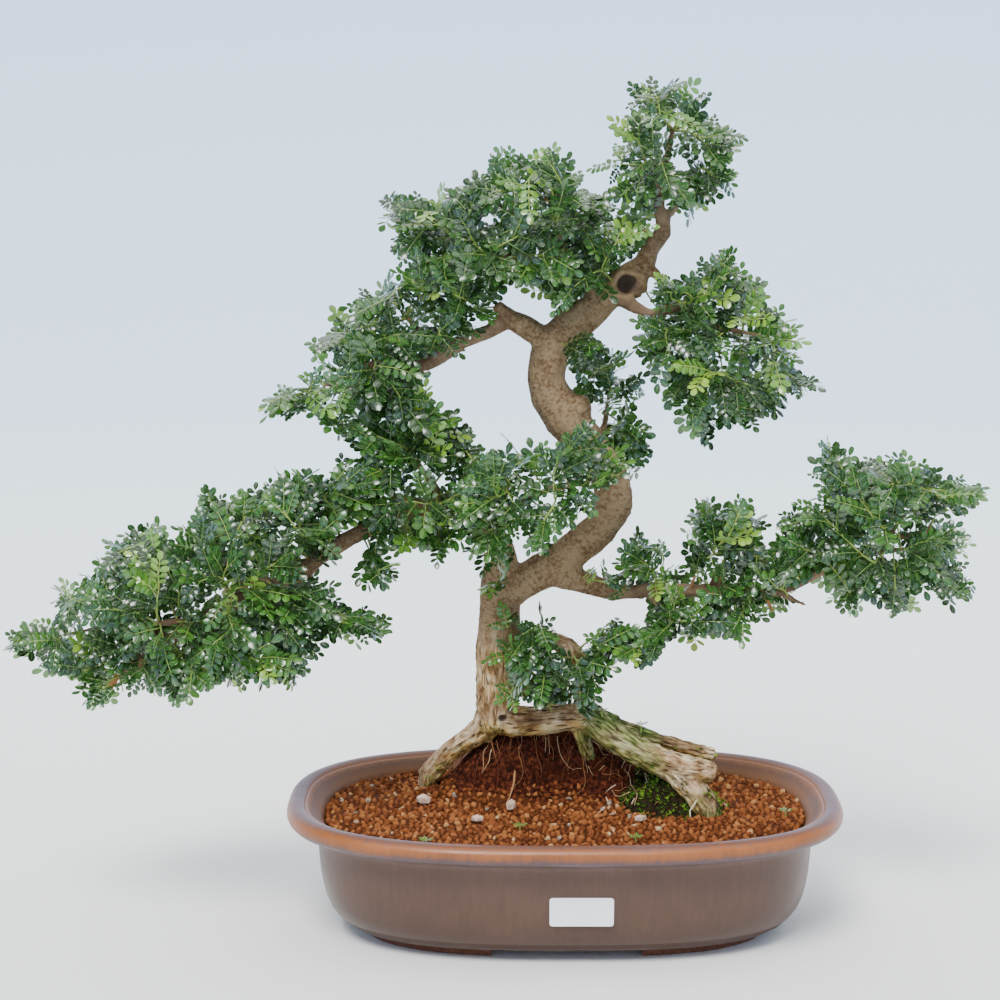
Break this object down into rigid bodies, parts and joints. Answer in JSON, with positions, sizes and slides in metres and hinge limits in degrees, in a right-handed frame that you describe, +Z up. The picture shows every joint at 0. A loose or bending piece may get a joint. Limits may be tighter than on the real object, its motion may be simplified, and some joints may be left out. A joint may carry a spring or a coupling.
{
  "type": "bonsai tree in pot",
  "caption": "Chinese pepper bonsai: an S-shaped trunk on arching surface roots, with small compound leaves in layered pads, in an oval glazed stoneware pot of clay granules.",
  "frame": {"origin": "middle of the object's box at the level of the pot's feet", "axes": "+X to the right along the pot's long side, +Y away from the front, +Z up"},
  "size_m": [0.7464, 0.312, 0.6492],
  "materials": {
    "glazed_stoneware": "dark brown-grey satin glaze that breaks to copper brown on the rim",
    "baked_clay_soil": "matt reddish-brown baked clay granules",
    "bark": "dry grey-brown bark with tan roots",
    "label_paper": "blank white card",
    "screen_plastic": "black plastic mesh",
    "pale_stone": "dry cream and grey pebbles",
    "leaf_green": "glossy dark green leaves"
  },
  "bodies": {
    "root": {"drain_screen_left": "screen_plastic", "drain_screen_right": "screen_plastic", "label": "label_paper", "pot": "glazed_stoneware", "soil": "baked_clay_soil", "spray_apex_1": "leaf_green", "spray_apex_2": "leaf_green", "spray_apex_3": "leaf_green", "spray_arch_1": "leaf_green", "spray_behind_trunk_1": "leaf_green", "spray_crown_1": "leaf_green", "spray_crown_2": "leaf_green", "spray_crown_3": "leaf_green", "spray_crown_4": "leaf_green", "spray_crown_5": "leaf_green", "spray_crown_6": "leaf_green", "spray_ledge_left_1": "leaf_green", "spray_ledge_left_2": "leaf_green", "spray_low_left_front_1": "leaf_green", "spray_low_left_front_2": "leaf_green", "spray_low_left_front_3": "leaf_green", "spray_low_left_inner_1": "leaf_green", "spray_low_left_inner_2": "leaf_green", "spray_low_left_inner_3": "leaf_green", "spray_low_left_outer_1": "leaf_green", "spray_low_left_outer_2": "leaf_green", "spray_low_left_outer_3": "leaf_green", "spray_low_left_tip_1": "leaf_green", "spray_middle_front_1": "leaf_green", "spray_middle_front_2": "leaf_green", "spray_middle_left_1": "leaf_green", "spray_middle_left_2": "leaf_green", "spray_middle_left_3": "leaf_green", "spray_right_end_1": "leaf_green", "spray_right_end_2": "leaf_green", "spray_right_end_3": "leaf_green", "spray_right_end_4": "leaf_green", "spray_right_low_1": "leaf_green", "spray_right_low_2": "leaf_green", "spray_right_low_3": "leaf_green", "spray_upper_left_1": "leaf_green", "spray_upper_left_2": "leaf_green", "spray_upper_left_3": "leaf_green", "spray_upper_right_1": "leaf_green", "spray_upper_right_2": "leaf_green", "spray_upper_right_3": "leaf_green", "spray_upper_right_4": "leaf_green", "stone_1": "pale_stone", "stone_2": "pale_stone", "stone_3": "pale_stone", "stone_4": "pale_stone", "trunk": "bark"}
  },
  "joints": []
}
